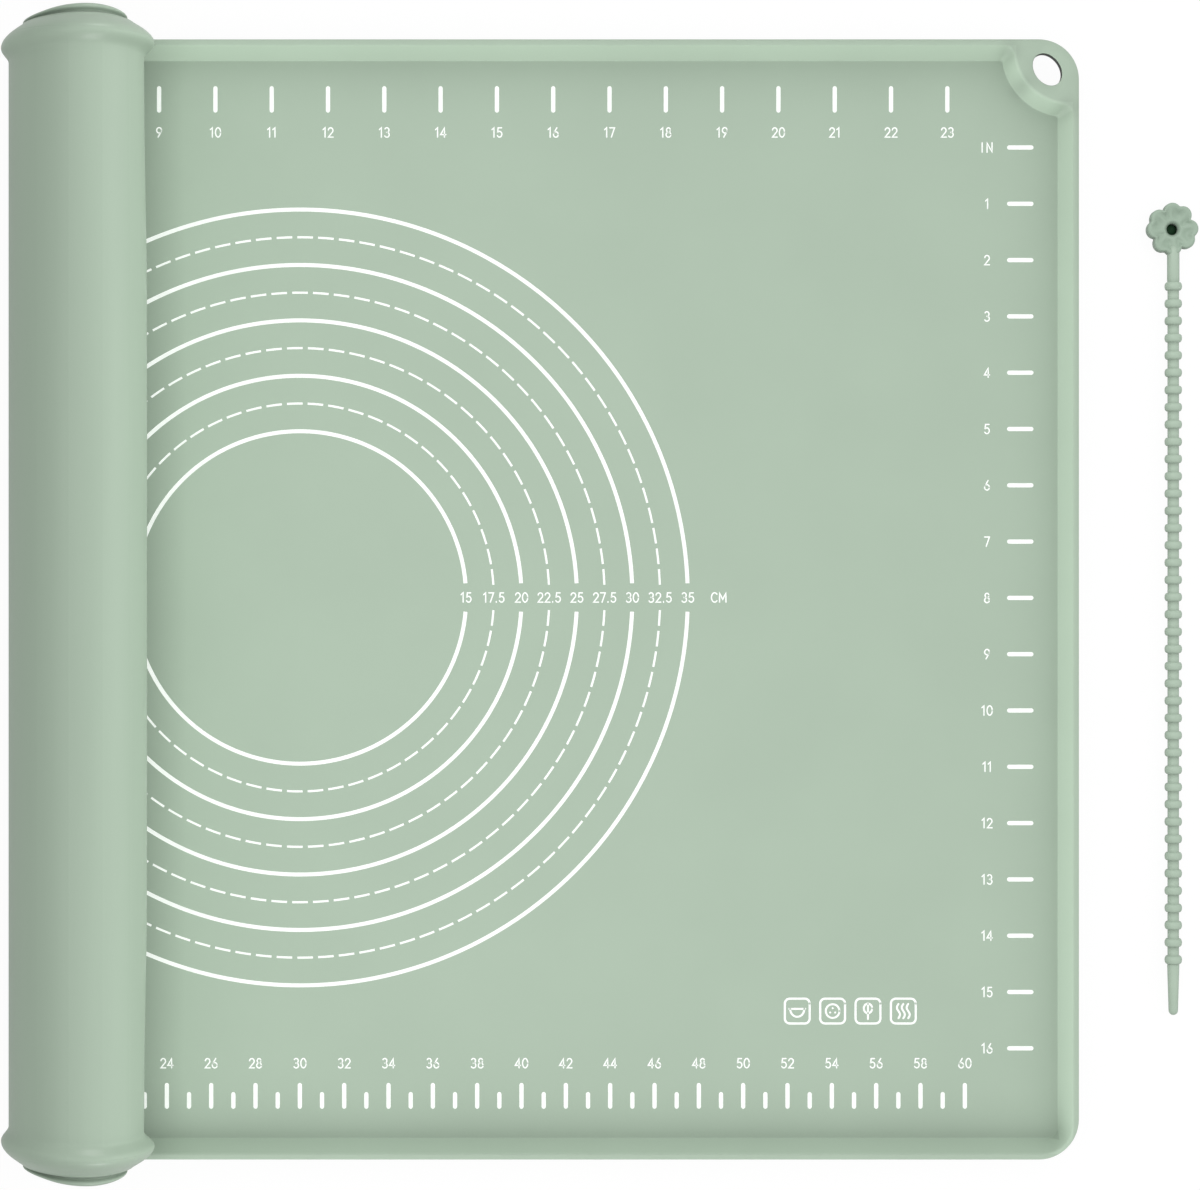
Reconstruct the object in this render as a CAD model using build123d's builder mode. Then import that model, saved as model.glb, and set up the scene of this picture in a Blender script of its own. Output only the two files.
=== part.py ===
# Silicone baking mat with a raised rim, rolled up from its left end, and the
# beaded silicone tie that lies beside it.
# Millimetres. X runs along the mat, Y across it and Z up from the table.
# The origin is the centre of the printed circles, on the table, which is also
# the centre of the mat when it is laid out flat.

import os
from math import asin, cos, pi, radians, sin, sqrt

from build123d import *

# The mat laid out flat
mat_length = 700
mat_width = 502
sheet_thickness = 1.0
outer_corner_radius = 18
crease_corner_radius = 5

# The rim, which is pressed up from the same sheet and is hollow below
rim_height = 10
slope_run = 5.3
flange_width = 2.7
slope_top_corner_radius = 13

# The raised platform in the far right corner, with the oval hanging hole
platform_crease_radius = 25.3
platform_top_radius = 19.4
platform_blend_radius = 2.2
hang_hole_length = 15.7
hang_hole_breadth = 12.4
hang_hole_inset = 14.2
hang_hole_collar_depth = 5
hang_hole_collar_wall = 1.2
hang_hole_turn = -45

# The roll. Its largest radius is where the rim makes the ends flare out, and
# the body between the ends is drawn in.
flat_run_left = 92.7
roll_radius = 34.7
layer_pitch = 3.0
waist_depth = 3.3
waist_ramp_strips = 3
flare_run = 8.0
flare_flat = 2.4
strip_angle = 28
shortest_end_run = 20

# The tie: a flower head with an eye, a smooth neck, a row of beads and a tail
tie_x = 393
tie_head_y = 166.6
tie_shank_diameter = 4.9
tie_neck_diameter = 5.3
tie_bead_diameter = 7.5
tie_bead_length = 3.8
tie_bead_crest_length = 1.6
tie_bead_pitch = 7.77
tie_bead_count = 40
tie_head_to_first_bead = 26.1
tie_tail_length = 22.6
tie_tail_base_diameter = 5.4
tie_tail_tip_diameter = 4.2
tie_tip_flat_diameter = 1.5
tie_side_count = 12

# The flower head: four heart-shaped petals of two lobes each, dished on top
flower_thickness = 6.4
flower_petal_count = 4
flower_petal_turn = 72
flower_lobe_radius = 3.9
flower_lobe_ring_radius = 7.6
flower_lobe_half_angle = 19
flower_hub_radius = 7.0
flower_notch_radius = 0.7
flower_edge_chamfer = 0.9
flower_dish_radius = 9.0
flower_dish_depth = 1.4
tie_eye_diameter = 5.0
tie_eye_funnel_diameter = 7.6

# One overrun serves all cuts
cut_overrun = 1.0

half_width = mat_width / 2
right_end = mat_length / 2
slope_rise = rim_height - sheet_thickness
slope_length = sqrt(slope_run**2 + slope_rise**2)
crease_inset = slope_run + flange_width
# A wall parallel to the sloping one starts this far outside the upper crease
wall_offset = sheet_thickness * (slope_length - slope_run) / slope_rise
# The corner where the far rim's crease would meet the right rim's crease
corner_x = right_end - crease_inset
corner_y = half_width - crease_inset

os.makedirs("parts", exist_ok=True)


def mat_outline(plane, start_x, end_x, inset, corner_radius, notch_radius=0):
    """Outline of one level of the tray, open towards start_x.

    Its corners are rounded, and with a notch_radius it goes round the platform
    in the far corner.
    """
    side_y = half_width - inset
    inset_x = end_x - inset
    with BuildSketch(plane) as outline:
        if notch_radius:
            reach = sqrt(notch_radius**2 - (inset_x - corner_x) ** 2)
            low = (inset_x, corner_y - reach)
            high = (corner_x - reach, side_y)
            slant = notch_radius * cos(radians(45))
            with BuildLine():
                Polyline(high, (start_x, side_y), (start_x, -side_y), (inset_x, -side_y), low)
                ThreePointArc(low, (corner_x - slant, corner_y - slant), high)
            make_face()
            corners = outline.vertices().group_by(Axis.X)[-1].sort_by(Axis.Y)
            top = outline.vertices().group_by(Axis.Y)[-1].sort_by(Axis.X)
            blends = [corners[-1], top[-1]]
            fillet(blends, radius=platform_blend_radius)
            corners = outline.vertices().group_by(Axis.X)[-1].sort_by(Axis.Y)
            fillet(corners[0], radius=corner_radius)
        else:
            with BuildLine():
                Polyline(
                    (start_x, side_y),
                    (start_x, -side_y),
                    (inset_x, -side_y),
                    (inset_x, side_y),
                    close=True,
                )
            make_face()
            fillet(outline.vertices().group_by(Axis.X)[-1], radius=corner_radius)
    return outline.sketch


def pressed_tray(plane, start_x, end_x, platform=False):
    """One end of the mat: the sheet and its rim, pressed from one thickness."""
    crease_notch = platform_crease_radius if platform else 0
    top_notch = platform_top_radius if platform else 0
    hidden_notches = [max(0, notch - wall_offset) for notch in (crease_notch, top_notch)]
    underside = (
        mat_outline(
            plane,
            start_x,
            end_x,
            crease_inset - wall_offset,
            crease_corner_radius + wall_offset,
            hidden_notches[0],
        ),
        mat_outline(
            plane.offset(slope_rise),
            start_x,
            end_x,
            flange_width - wall_offset,
            slope_top_corner_radius + wall_offset,
            hidden_notches[1],
        ),
    )
    flange = mat_outline(plane.offset(slope_rise), start_x, end_x, 0, outer_corner_radius)
    basin = (
        mat_outline(
            plane.offset(sheet_thickness),
            start_x,
            end_x,
            crease_inset,
            crease_corner_radius,
            crease_notch,
        ),
        mat_outline(
            plane.offset(rim_height),
            start_x,
            end_x,
            flange_width,
            slope_top_corner_radius,
            top_notch,
        ),
    )
    with BuildPart() as pressed:
        loft([outline.face() for outline in underside], ruled=True)
        extrude(flange, amount=sheet_thickness)
        loft([outline.face() for outline in basin], ruled=True, mode=Mode.SUBTRACT)
    return pressed.part


# The flat part of the mat, with the rim on three sides, the platform in the
# far right corner and its hanging hole
with BuildPart() as flat_mat:
    add(pressed_tray(Plane.XY, -flat_run_left, right_end, platform=True))
    hole_x = right_end - hang_hole_inset
    hole_y = half_width - hang_hole_inset
    collar_length = hang_hole_length + hang_hole_collar_wall * 2
    collar_breadth = hang_hole_breadth + hang_hole_collar_wall * 2
    with BuildSketch(Plane.XY.offset(rim_height)):
        with Locations((hole_x, hole_y)):
            Ellipse(collar_length / 2, collar_breadth / 2, rotation=hang_hole_turn)
    extrude(amount=-hang_hole_collar_depth)
    with BuildSketch(Plane.XY):
        with Locations((hole_x, hole_y)):
            Ellipse(hang_hole_length / 2, hang_hole_breadth / 2, rotation=hang_hole_turn)
    extrude(amount=rim_height + cut_overrun, mode=Mode.SUBTRACT)
flat_mat.part.label = "flat_mat"
export_step(flat_mat.part, "parts/flat_mat.step")


def rolled_section(plane, drawn_in):
    """Section of the rolled sheet, from one rim to the other.

    The sheet is drawn in by drawn_in between the two flared ends. The first
    line is the underside of the mat, which is the outside of the roll.
    """
    flare_y = corner_y + wall_offset - flare_flat
    half = (
        (half_width, slope_rise),
        (half_width - flange_width + wall_offset, slope_rise),
        (corner_y + wall_offset, 0),
        (flare_y, 0),
        (flare_y - flare_run, drawn_in),
    )
    with BuildSketch(plane) as section:
        with BuildLine():
            Polyline(*[(-y, z) for y, z in half], *[(y, z) for y, z in reversed(half)])
            offset(amount=sheet_thickness, kind=Kind.INTERSECTION, side=Side.LEFT)
        make_face()
    return section.sketch


# The spiral of the roll: strips of a round arc each, whose radius falls by one
# layer in each turn. Every strip starts where the one before it ends.
rolled_length = right_end - flat_run_left
turn_step = radians(strip_angle)
radius_step = layer_pitch * turn_step / (pi * 2)

strips = []
point_x = -flat_run_left
point_z = 0
heading = 0
radius = roll_radius
length_left = rolled_length
while length_left - radius * turn_step > shortest_end_run:
    centre_x = point_x + radius * sin(heading)
    centre_z = point_z + radius * cos(heading)
    strips.append((point_x, point_z, heading, radius, centre_x, centre_z))
    length_left -= radius * turn_step
    heading += turn_step
    point_x = centre_x - radius * sin(heading)
    point_z = centre_z - radius * cos(heading)
    radius -= radius_step

for index, (start_x, start_z, turned, bend_radius, axis_x, axis_z) in enumerate(strips):
    section_plane = Plane(
        origin=(start_x, 0, start_z),
        x_dir=(0, 1, 0),
        z_dir=(cos(turned), 0, -sin(turned)),
    )
    drawn_in = waist_depth * min(1, (index + 1) / waist_ramp_strips)
    with BuildPart() as roll_strip:
        revolve(
            rolled_section(section_plane, drawn_in),
            axis=Axis((axis_x, 0, axis_z), (0, 1, 0)),
            revolution_arc=strip_angle,
        )
    name = f"roll_strip_{index + 1:02d}"
    roll_strip.part.label = name
    export_step(roll_strip.part, f"parts/{name}.step")

# The left end of the mat, innermost in the roll. It is too short to bend, so it
# lies as a chord of the innermost turn, with its end rim towards the centre.
end_turn = asin(length_left / 2 / radius)
end_heading = heading + end_turn
end_plane = Plane(
    origin=(point_x, 0, point_z),
    x_dir=(-cos(end_heading), 0, sin(end_heading)),
    z_dir=(sin(end_heading), 0, cos(end_heading)),
)
last_strip_face = Plane(
    origin=(point_x, 0, point_z),
    x_dir=(0, 1, 0),
    z_dir=(-cos(heading), 0, sin(heading)),
)
end_section = Plane(origin=end_plane.origin, x_dir=end_plane.y_dir, z_dir=end_plane.x_dir)
flare_edge_y = corner_y + wall_offset - flare_flat
waist_edge_y = flare_edge_y - flare_run
end_sheet_run = length_left - crease_inset + wall_offset + waist_depth * slope_run / slope_rise

with BuildPart() as roll_end:
    add(pressed_tray(end_plane, 0, length_left))
    with BuildSketch(end_section):
        with BuildLine():
            Polyline(
                (-flare_edge_y, 0),
                (-waist_edge_y, waist_depth),
                (waist_edge_y, waist_depth),
                (flare_edge_y, 0),
                close=True,
            )
        make_face()
    extrude(amount=length_left, mode=Mode.SUBTRACT)
    with BuildSketch(end_section):
        with BuildLine():
            Polyline(
                (-flare_edge_y, 0),
                (-waist_edge_y, waist_depth),
                (waist_edge_y, waist_depth),
                (flare_edge_y, 0),
            )
            offset(amount=sheet_thickness, side=Side.LEFT)
        make_face()
    extrude(amount=end_sheet_run)
    # It starts on the face where the last bent strip ends
    split(bisect_by=last_strip_face, keep=Keep.TOP)
roll_end.part.label = "roll_end"
export_step(roll_end.part, "parts/roll_end.step")

# The head of the tie: a flower cut-out with a bevelled edge, a dished face and a
# funnelled eye, through which the tail is pulled to close the tie
with BuildPart() as flower_head:
    with BuildSketch():
        with Locations((tie_x, tie_head_y)):
            Circle(flower_hub_radius)
            for side in (-flower_lobe_half_angle, flower_lobe_half_angle):
                with PolarLocations(
                    flower_lobe_ring_radius,
                    flower_petal_count,
                    start_angle=flower_petal_turn + side,
                ):
                    Circle(flower_lobe_radius)
        # Out and back in again rounds the notches between the lobes
        offset(amount=flower_notch_radius)
        offset(amount=-flower_notch_radius)
    extrude(amount=flower_thickness)
    top_rim = flower_head.faces().sort_by(Axis.Z)[-1].edges()
    chamfer(top_rim, length=flower_edge_chamfer)
    dish_sphere_radius = (flower_dish_radius**2 + flower_dish_depth**2) / flower_dish_depth / 2
    dish_floor = flower_thickness - flower_dish_depth
    with Locations((tie_x, tie_head_y, dish_floor + dish_sphere_radius)):
        Sphere(dish_sphere_radius, mode=Mode.SUBTRACT)
    with Locations((tie_x, tie_head_y, dish_floor)):
        CounterSinkHole(
            radius=tie_eye_diameter / 2,
            counter_sink_radius=tie_eye_funnel_diameter / 2,
        )

# The tie in one moulding: a row of beads on a flexible shank, which runs from
# the flower head to a tapered tail. It lies along Y on the table.
shank_r = tie_shank_diameter / 2
neck_r = tie_neck_diameter / 2
bead_r = tie_bead_diameter / 2
base_r = tie_tail_base_diameter / 2
tip_r = tie_tail_tip_diameter / 2
tip_flat_r = tie_tip_flat_diameter / 2
tip_slant = tip_r * sin(radians(45))
bead_half = tie_bead_length / 2
crest_half = tie_bead_crest_length / 2
first_bead_y = tie_head_y - tie_head_to_first_bead
last_bead_y = first_bead_y - tie_bead_pitch * (tie_bead_count - 1)
tip_y = last_bead_y - bead_half - tie_tail_length

# Places along the tie, each with the radius of the moulding there
tie_stations = [(tie_head_y - flower_hub_radius, neck_r)]
for bead in range(tie_bead_count):
    bead_y = first_bead_y - bead * tie_bead_pitch
    far_r = shank_r if bead else neck_r
    near_r = shank_r if bead < tie_bead_count - 1 else base_r
    tie_stations.append((bead_y + bead_half, far_r))
    tie_stations.append((bead_y + crest_half, bead_r))
    tie_stations.append((bead_y - crest_half, bead_r))
    tie_stations.append((bead_y - bead_half, near_r))
tie_stations.append((tip_y + tip_r, tip_r))
tie_stations.append((tip_y + tip_r - tip_slant, tip_slant))
tie_stations.append((tip_y, tip_flat_r))


def tie_section(y, radius):
    """The moulding's many-sided cross section at one place along the tie."""
    station = Plane(origin=(tie_x, y, bead_r), x_dir=(1, 0, 0), z_dir=(0, -1, 0))
    with BuildSketch(station) as section:
        RegularPolygon(radius, tie_side_count)
    return section.sketch


with BuildPart() as tie:
    loft([tie_section(y, radius) for y, radius in tie_stations], ruled=True)
    add(flower_head.part)
tie.part.label = "tie"
export_step(tie.part, "parts/tie.step")
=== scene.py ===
# Looks of the silicone baking mat: the moulded sheet with its rim and corner
# platform, the roll at its left end, the printed scales and circles, and the tie.
# Metres, in the frame of the CAD part: the origin is the centre of the printed
# circles on the table, X runs along the mat, Y across it and Z up.

import math

import bpy
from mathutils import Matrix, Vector


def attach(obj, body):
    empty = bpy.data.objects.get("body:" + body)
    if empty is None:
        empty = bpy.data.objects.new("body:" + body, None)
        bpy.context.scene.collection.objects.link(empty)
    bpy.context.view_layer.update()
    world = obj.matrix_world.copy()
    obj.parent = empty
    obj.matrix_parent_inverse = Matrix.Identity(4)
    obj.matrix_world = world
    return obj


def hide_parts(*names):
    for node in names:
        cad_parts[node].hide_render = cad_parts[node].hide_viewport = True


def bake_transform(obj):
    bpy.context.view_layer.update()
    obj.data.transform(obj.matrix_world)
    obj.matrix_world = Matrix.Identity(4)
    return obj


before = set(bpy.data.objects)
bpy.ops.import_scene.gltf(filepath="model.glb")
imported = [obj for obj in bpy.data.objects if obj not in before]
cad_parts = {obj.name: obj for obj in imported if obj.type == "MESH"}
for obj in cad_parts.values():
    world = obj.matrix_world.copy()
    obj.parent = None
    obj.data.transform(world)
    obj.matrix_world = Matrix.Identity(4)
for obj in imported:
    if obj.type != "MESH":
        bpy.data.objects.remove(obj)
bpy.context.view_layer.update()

MM = 0.001

# The mat
MAT_LENGTH = 700 * MM
MAT_WIDTH = 502 * MM
SHEET = 1.0 * MM
OUTER_RADIUS = 18 * MM
CREASE_RADIUS = 5 * MM
RIM_HEIGHT = 10 * MM
SLOPE_RUN = 5.3 * MM
FLANGE_WIDTH = 2.7 * MM
SLOPE_TOP_RADIUS = 13 * MM
PLATFORM_OFFSET = 4.1 * MM
PLATFORM_CREASE_RADIUS = 29.5 * MM
PLATFORM_TOP_RADIUS = 25.2 * MM
PLATFORM_BLEND = 1.8 * MM
PLATFORM_BLEND_GROWTH = 0.5
HOLE_LENGTH = 15.7 * MM
HOLE_BREADTH = 11.5 * MM
HOLE_INSET_X = 14.1 * MM
HOLE_INSET_Y = 13.5 * MM
HOLE_TURN = math.radians(-54)
COLLAR_DEPTH = 5.0 * MM
COLLAR_WALL = 1.2 * MM
HOLE_LIP = 0.4 * MM
LIP_MIDDLE = 0.3

# Roundings of the moulded corners, as the distance that each takes of its sides
CREASE_ROUND = 0.5 * MM
SLOPE_TOP_ROUND = 0.9 * MM
EDGE_ROUND = 0.4 * MM
LIP_ROUND = 0.15 * MM

# The roll
FLAT_RUN_LEFT = 92.7 * MM
ROLL_RADIUS = 34.7 * MM
LAYER_PITCH = 3.0 * MM
WAIST_DEPTH = 3.3 * MM
FLARE_RUN = 6.0 * MM
FLARE_GAP = CREASE_ROUND * 1.5
STRIP_TURN = math.radians(28)
SHORTEST_END_RUN = 20 * MM
WAIST_RAMP = 50 * MM
# Share of the chord between two cuts, on each side of its middle, that bends
BEND_SHARE = 0.34

# How rolling changes the rim: the slope rounds over and reaches further out, the
# flange is widest on top of the roll, and the roll sits a little askew
SKEW = 2.2 * MM
BULGE_INSET_NEAR = 4.9 * MM
BULGE_INSET_FAR = 0.65 * MM
BULGE_POWER = 2.39
SPLAY_NEAR = 5.45 * MM
SPLAY_FAR = 7.7 * MM
SPLAY_START = 65 * MM
SPLAY_GROWTH = 65 * MM
SPLAY_END = 170 * MM
FLANGE_START = 43 * MM
FLANGE_SPAN = 158 * MM
FLANGE_SIDE = 0.4 * MM
FLANGE_TOP = 5.2 * MM
FLANGE_STEP = 4.4 * MM
FLANGE_STEP_SHARE = 0.36
FLANGE_CROWN = 1.6 * MM
FLANGE_STEP_GROWTH = 40 * MM
NECK_DEPTH = 1.3 * MM
NECK_START = 110 * MM
NECK_MIDDLE = 130 * MM
NECK_RAMP = 100 * MM

# How finely the mat is divided
SIDE_COUNT = 24
BLEND_COUNT = 5
NOTCH_COUNT = 22
CORNER_COUNT = 14
END_COUNT = 24
ROUND_STEPS = 4
HOLE_COUNT = 48
ARC_STEPS = 4
FLARE_STEPS = 12
INNER_SHARES = (0.85, 0.6, 0.3)
SLOPE_SHARES = (0.15, 0.3, 0.45, 0.6, 0.75, 0.88)
LIP_SHARES = (0.12, 0.2, 0.28, 0.36, 0.48, 0.6, 0.7)

# Places that follow from the sizes
HALF_WIDTH = MAT_WIDTH / 2
RIGHT_END = MAT_LENGTH / 2
LEFT_CUT = -FLAT_RUN_LEFT
SLOPE_RISE = RIM_HEIGHT - SHEET
SLOPE_LENGTH = math.hypot(SLOPE_RUN, SLOPE_RISE)
CREASE_INSET = SLOPE_RUN + FLANGE_WIDTH
WALL_OFFSET = SHEET * (SLOPE_LENGTH - SLOPE_RUN) / SLOPE_RISE
CORNER_X = RIGHT_END - CREASE_INSET
CORNER_Y = HALF_WIDTH - CREASE_INSET
UNDER_CREASE_Y = CORNER_Y + WALL_OFFSET
LIP_Y = CORNER_Y + SLOPE_RUN + WALL_OFFSET
PLATFORM_X = CORNER_X + PLATFORM_OFFSET
PLATFORM_Y = CORNER_Y + PLATFORM_OFFSET
HOLE_X = RIGHT_END - HOLE_INSET_X
HOLE_Y = HALF_WIDTH - HOLE_INSET_Y
HOLE_ALONG = Vector((math.cos(HOLE_TURN), math.sin(HOLE_TURN)))
HOLE_ACROSS = Vector((-HOLE_ALONG.y, HOLE_ALONG.x))
SHEET_MARGIN = 2.5 * MM

# Meshes and lines of points


def smooth_step(value):
    t = min(1.0, max(0.0, value))
    return t * t * (3 - 2 * t)


def make_mesh(name, points, faces, materials, flat_points=None, smooth=True):
    """A mesh object, with a UV map in metres on the flat sheet if given."""
    mesh = bpy.data.meshes.new(name)
    mesh.from_pydata([tuple(p) for p in points], [], faces)
    mesh.validate()
    mesh.update()
    for polygon in mesh.polygons:
        polygon.use_smooth = smooth
    if flat_points:
        layer = mesh.uv_layers.new(name="flat")
        for loop in mesh.loops:
            layer.data[loop.index].uv = flat_points[loop.vertex_index]
    for material in materials:
        mesh.materials.append(material)
    made = bpy.data.objects.new(name, mesh)
    bpy.context.scene.collection.objects.link(made)
    return made


def shifted(faces, start):
    """The faces with their points counted on from start."""
    return [tuple(start + corner for corner in face) for face in faces]


def tube_faces(rows, columns):
    """Faces of a tube of this many rings, each of this many points."""
    faces = []
    for row in range(rows - 1):
        a = row * columns
        for column in range(columns):
            after = (column + 1) % columns
            faces.append((a + column, a + after, a + columns + after, a + columns + column))
    return faces


def rounded(keys):
    """The closed outline through keys, each (point, round), with round corners."""
    made = []
    for index, (corner, distance) in enumerate(keys):
        if distance == 0:
            made.append(corner)
            continue
        before = keys[index - 1][0]
        after = keys[(index + 1) % len(keys)][0]
        towards = (before - corner).normalized() * distance
        onward = (after - corner).normalized() * distance
        for step in range(ROUND_STEPS + 1):
            t = step / ROUND_STEPS
            made.append(corner + towards * (1 - t) ** 2 + onward * t**2)
    return made


def curve(cx, cy, rx, ry, start, end, count=14):
    """Points of an elliptic arc, from one angle to the other in degrees."""
    made = []
    for index in range(count + 1):
        angle = math.radians(start + (end - start) * index / count)
        made.append((cx + rx * math.cos(angle), cy + ry * math.sin(angle)))
    return made


def arc_points(centre, radius, start, end, count):
    return curve(*centre, radius, radius, start, end, count)


def line_points(start, end, count):
    """Points along a line, without its end."""
    (x, y), (end_x, end_y) = start, end
    shares = [index / count for index in range(count)]
    return [(x + (end_x - x) * t, y + (end_y - y) * t) for t in shares]


# The flat part of the mat


def rim_path(outset, notch_radius, corner_radius):
    """One line of the rim, this far outside the crease, from far left to near left.

    It goes along the far side, round the platform, down the right end, round
    the near corner and back along the near side.
    """
    blend = PLATFORM_BLEND + outset * PLATFORM_BLEND_GROWTH
    drop = PLATFORM_OFFSET + blend - outset
    reach = math.sqrt((notch_radius + blend) ** 2 - drop**2)
    lean = math.degrees(math.atan2(drop, reach))
    blend_x = PLATFORM_X - reach
    blend_y = PLATFORM_Y - reach
    line_x = CORNER_X + outset
    line_y = CORNER_Y + outset
    platform = (PLATFORM_X, PLATFORM_Y)
    corner_centre = (line_x - corner_radius, -line_y + corner_radius)
    path = line_points((LEFT_CUT, line_y), (blend_x, line_y), SIDE_COUNT)
    path += arc_points((blend_x, line_y - blend), blend, 90, lean, BLEND_COUNT)[:-1]
    path += arc_points(platform, notch_radius, 180 + lean, 270 - lean, NOTCH_COUNT)[:-1]
    path += arc_points((line_x - blend, blend_y), blend, 90 - lean, 0, BLEND_COUNT)[:-1]
    path += line_points((line_x, blend_y), (line_x, corner_centre[1]), END_COUNT)
    path += arc_points(corner_centre, corner_radius, 0, -90, CORNER_COUNT)[:-1]
    path += line_points((corner_centre[0], -line_y), (LEFT_CUT, -line_y), SIDE_COUNT)
    path.append((LEFT_CUT, -line_y))
    return path


def outer_path():
    """The mat's outer edge, with as many points as rim_path."""
    far_centre = (RIGHT_END - OUTER_RADIUS, HALF_WIDTH - OUTER_RADIUS)
    near_centre = (far_centre[0], -far_centre[1])
    far_count = BLEND_COUNT * 2 + NOTCH_COUNT
    path = line_points((LEFT_CUT, HALF_WIDTH), (far_centre[0], HALF_WIDTH), SIDE_COUNT)
    path += arc_points(far_centre, OUTER_RADIUS, 90, 0, far_count)[:-1]
    path += line_points((RIGHT_END, far_centre[1]), (RIGHT_END, near_centre[1]), END_COUNT)
    path += arc_points(near_centre, OUTER_RADIUS, 0, -90, CORNER_COUNT)[:-1]
    path += line_points((near_centre[0], -HALF_WIDTH), (LEFT_CUT, -HALF_WIDTH), SIDE_COUNT)
    path.append((LEFT_CUT, -HALF_WIDTH))
    return path


def oval_ring(extra, height, start_turn):
    """Points of an oval round the hole, this much larger than it."""
    centre = Vector((HOLE_X, HOLE_Y))
    long_r = HOLE_LENGTH / 2 + extra
    short_r = HOLE_BREADTH / 2 + extra
    made = []
    for index in range(HOLE_COUNT):
        turn = start_turn + 2 * math.pi * index / HOLE_COUNT
        facing = Vector((math.cos(turn), math.sin(turn)))
        u, v = facing.dot(HOLE_ALONG), facing.dot(HOLE_ACROSS)
        spot = centre + facing / math.hypot(u / long_r, v / short_r)
        made.append(Vector((spot.x, spot.y, height)))
    return made


def zip_up(points, loop, circle, facing_up):
    """Triangles between the loop and the oval ring, which start side by side."""
    faces = []
    here, there = 0, 0
    while here < len(loop) or there < len(circle):
        a = loop[here % len(loop)]
        b = circle[there % len(circle)]
        next_a = loop[(here + 1) % len(loop)]
        next_b = circle[(there + 1) % len(circle)]
        by_loop = (points[next_a] - points[b]).length
        by_circle = (points[next_b] - points[a]).length
        if there >= len(circle) or (here < len(loop) and by_loop <= by_circle):
            here += 1
            face = (a, next_a, b)
        else:
            there += 1
            face = (a, next_b, b)
        faces.append(face if facing_up else face[::-1])
    return faces


def rim_levels():
    """The lines of the moulding as (path, height, round), over the top and back under it."""
    inner_notch = PLATFORM_CREASE_RADIUS + SHEET_MARGIN
    inner = rim_path(-SHEET_MARGIN, inner_notch, CREASE_RADIUS - SHEET_MARGIN)
    crease = rim_path(0, PLATFORM_CREASE_RADIUS, CREASE_RADIUS)
    top = rim_path(SLOPE_RUN, PLATFORM_TOP_RADIUS, SLOPE_TOP_RADIUS)
    outer = outer_path()
    under_top = rim_path(
        SLOPE_RUN + WALL_OFFSET,
        PLATFORM_TOP_RADIUS - WALL_OFFSET,
        SLOPE_TOP_RADIUS + WALL_OFFSET,
    )
    under_crease = rim_path(
        WALL_OFFSET, PLATFORM_CREASE_RADIUS - WALL_OFFSET, CREASE_RADIUS + WALL_OFFSET
    )
    return (
        (inner, SHEET, 0),
        (crease, SHEET, CREASE_ROUND),
        (top, RIM_HEIGHT, SLOPE_TOP_ROUND),
        (outer, RIM_HEIGHT, EDGE_ROUND),
        (outer, SLOPE_RISE, EDGE_ROUND),
        (under_top, SLOPE_RISE, EDGE_ROUND),
        (under_crease, 0, CREASE_ROUND),
        (inner, 0, 0),
    )


def flat_part():
    levels = rim_levels()
    rows = len(levels[0][0])
    points = []
    for index in range(rows):
        keys = [(Vector((*path[index], height)), distance) for path, height, distance in levels]
        points += rounded(keys)
    columns = len(points) // rows
    # The last column of the slope's top, and the last of the outer edge's underside
    top_column = (ROUND_STEPS + 1) * 2
    under_column = top_column * 2
    # The rows along the platform's arc, where the hole's loops take the strips' place
    first = SIDE_COUNT + BLEND_COUNT
    last = first + NOTCH_COUNT
    faces = []
    for row in range(rows - 1):
        for column in range(columns - 1):
            if first <= row < last and column in (top_column, under_column):
                continue
            a = row * columns + column
            faces.append((a, a + columns, a + columns + 1, a + 1))
    faces.append([row * columns for row in reversed(range(rows))])
    faces.append([row * columns + columns - 1 for row in range(rows)])

    def loop_of(arc_column, corner_column):
        """The loop round the hole, along the platform's arc and back round the corner."""
        there = [row * columns + arc_column for row in range(first, last + 1)]
        back = [row * columns + corner_column for row in reversed(range(first, last + 1))]
        return there + back

    start = points[first * columns + top_column]
    start_turn = math.atan2(start[1] - HOLE_Y, start[0] - HOLE_X)
    collar_bottom = RIM_HEIGHT - COLLAR_DEPTH
    rings = []
    for extra, height in (
        (HOLE_LIP, RIM_HEIGHT),
        (HOLE_LIP * LIP_MIDDLE, RIM_HEIGHT - HOLE_LIP * LIP_MIDDLE),
        (0, RIM_HEIGHT - HOLE_LIP),
        (0, collar_bottom + HOLE_LIP),
        (HOLE_LIP, collar_bottom),
        (COLLAR_WALL - HOLE_LIP, collar_bottom),
        (COLLAR_WALL, collar_bottom + HOLE_LIP),
        (COLLAR_WALL, SLOPE_RISE),
    ):
        rings.append(range(len(points), len(points) + HOLE_COUNT))
        points += oval_ring(extra, height, start_turn)
    faces += shifted(tube_faces(len(rings), HOLE_COUNT), rings[0][0])
    faces += zip_up(points, loop_of(top_column, top_column + 1), rings[0], True)
    faces += zip_up(points, loop_of(under_column + 1, under_column), rings[-1], False)
    return make_mesh("mat_flat", points, faces, MAT_LOOKS, [(p[0], p[1]) for p in points])


# The roll


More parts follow.
